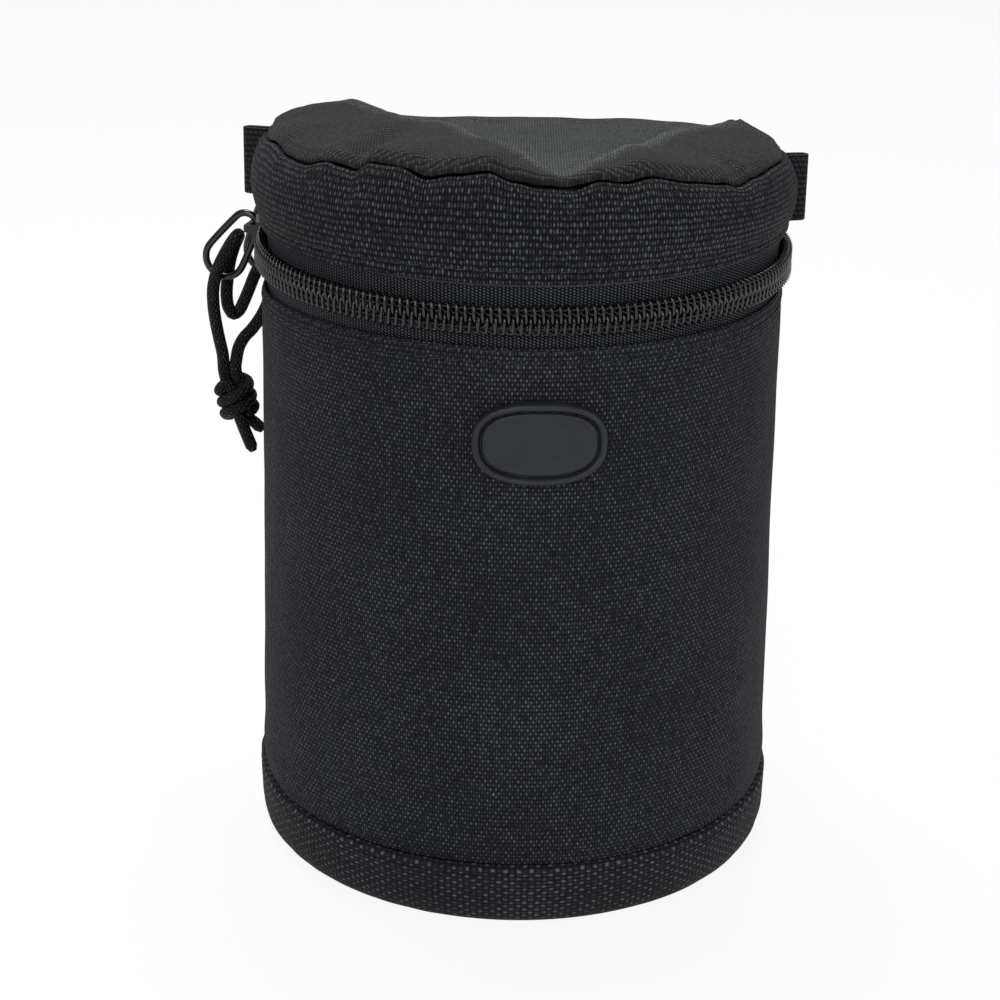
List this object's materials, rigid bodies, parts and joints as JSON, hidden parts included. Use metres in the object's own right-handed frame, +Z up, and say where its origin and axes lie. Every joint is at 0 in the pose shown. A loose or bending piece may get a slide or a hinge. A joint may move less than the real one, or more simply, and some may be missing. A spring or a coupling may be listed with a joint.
{
  "type": "lens pouch",
  "caption": "Padded cylindrical fabric lens pouch with a flat back, a base band, a soft zipped lid, wire pulls with a knotted cord and a bare oval patch.",
  "frame": {"origin": "middle of the base, on the surface it stands on, on the axis of its round front", "axes": "+Z up, -Y to the pouch's front with the patch, +X to the right seen from the front"},
  "size_m": [0.1332, 0.1079, 0.1644],
  "materials": {
    "body_fabric": "matte",
    "lid_fabric": "matte",
    "lid_top_fabric": "matte",
    "ballistic": "matte",
    "padding": "matte",
    "lining": "matte",
    "zip_tape": "matte",
    "zip_coil": "satin",
    "slider_paint": "satin",
    "ring_metal": "satin",
    "cord": "matte",
    "webbing": "matte",
    "patch_rubber": "satin"
  },
  "bodies": {
    "body": {"body_outer_fabric": "body_fabric", "body_foam": "padding", "body_lining": "lining", "base_panel": "ballistic", "base_foam": "padding", "base_lining": "lining", "base_band": "ballistic", "lower_zip_tape": "zip_tape", "lower_coil": "zip_coil", "zip_end_tab_left": "webbing", "zip_end_tab_right": "webbing", "hinge_panel": "body_fabric", "belt_loop": "webbing", "label_patch": "patch_rubber"},
    "lid": {"lid_wall_fabric": "lid_fabric", "lid_wall_foam": "padding", "lid_wall_lining": "lining", "lid_top_fabric": "lid_top_fabric", "lid_top_foam": "padding", "lid_top_lining": "lining", "upper_zip_tape": "zip_tape", "upper_coil": "zip_coil", "webbing_loop_left": "webbing", "webbing_loop_right": "webbing"},
    "front_slider": {"front_slider": "slider_paint"},
    "front_pull": {"front_pull_ring": "ring_metal", "pull_cord": "cord", "pull_knot": "cord"},
    "rear_slider": {"rear_slider": "slider_paint"},
    "rear_pull": {"rear_pull_ring": "ring_metal"}
  },
  "joints": [
    {"name": "lid_hinge", "type": "hinge", "parent": "body", "child": "lid", "pos_m": [0, 0.0412, 0.134], "axis": [-1, 0, 0], "range_deg": [0, 120], "deforming": ["hinge_panel", "lower_coil", "upper_coil"]},
    {"name": "front_slider_travel", "type": "hinge", "parent": "body", "child": "front_slider", "pos_m": [0, 0, 0.134], "axis": [0, 0, 1], "range_deg": [0, 221.5], "deforming": ["lower_coil", "upper_coil"]},
    {"name": "rear_slider_travel", "type": "hinge", "parent": "body", "child": "rear_slider", "pos_m": [0, 0, 0.134], "axis": [0, 0, 1], "range_deg": [-5, 0], "deforming": ["lower_coil", "upper_coil"]},
    {"name": "front_ring_swing", "type": "hinge", "parent": "front_slider", "child": "front_pull", "pos_m": [-0.06141, 0.01361, 0.134], "axis": [0.2164, 0.9763, 0], "range_deg": [-3, 47]},
    {"name": "rear_ring_swing", "type": "hinge", "parent": "rear_slider", "child": "rear_pull", "pos_m": [-0.05746, 0.02558, 0.134], "axis": [0.4067, 0.9135, 0], "range_deg": [-1, 78]}
  ]
}
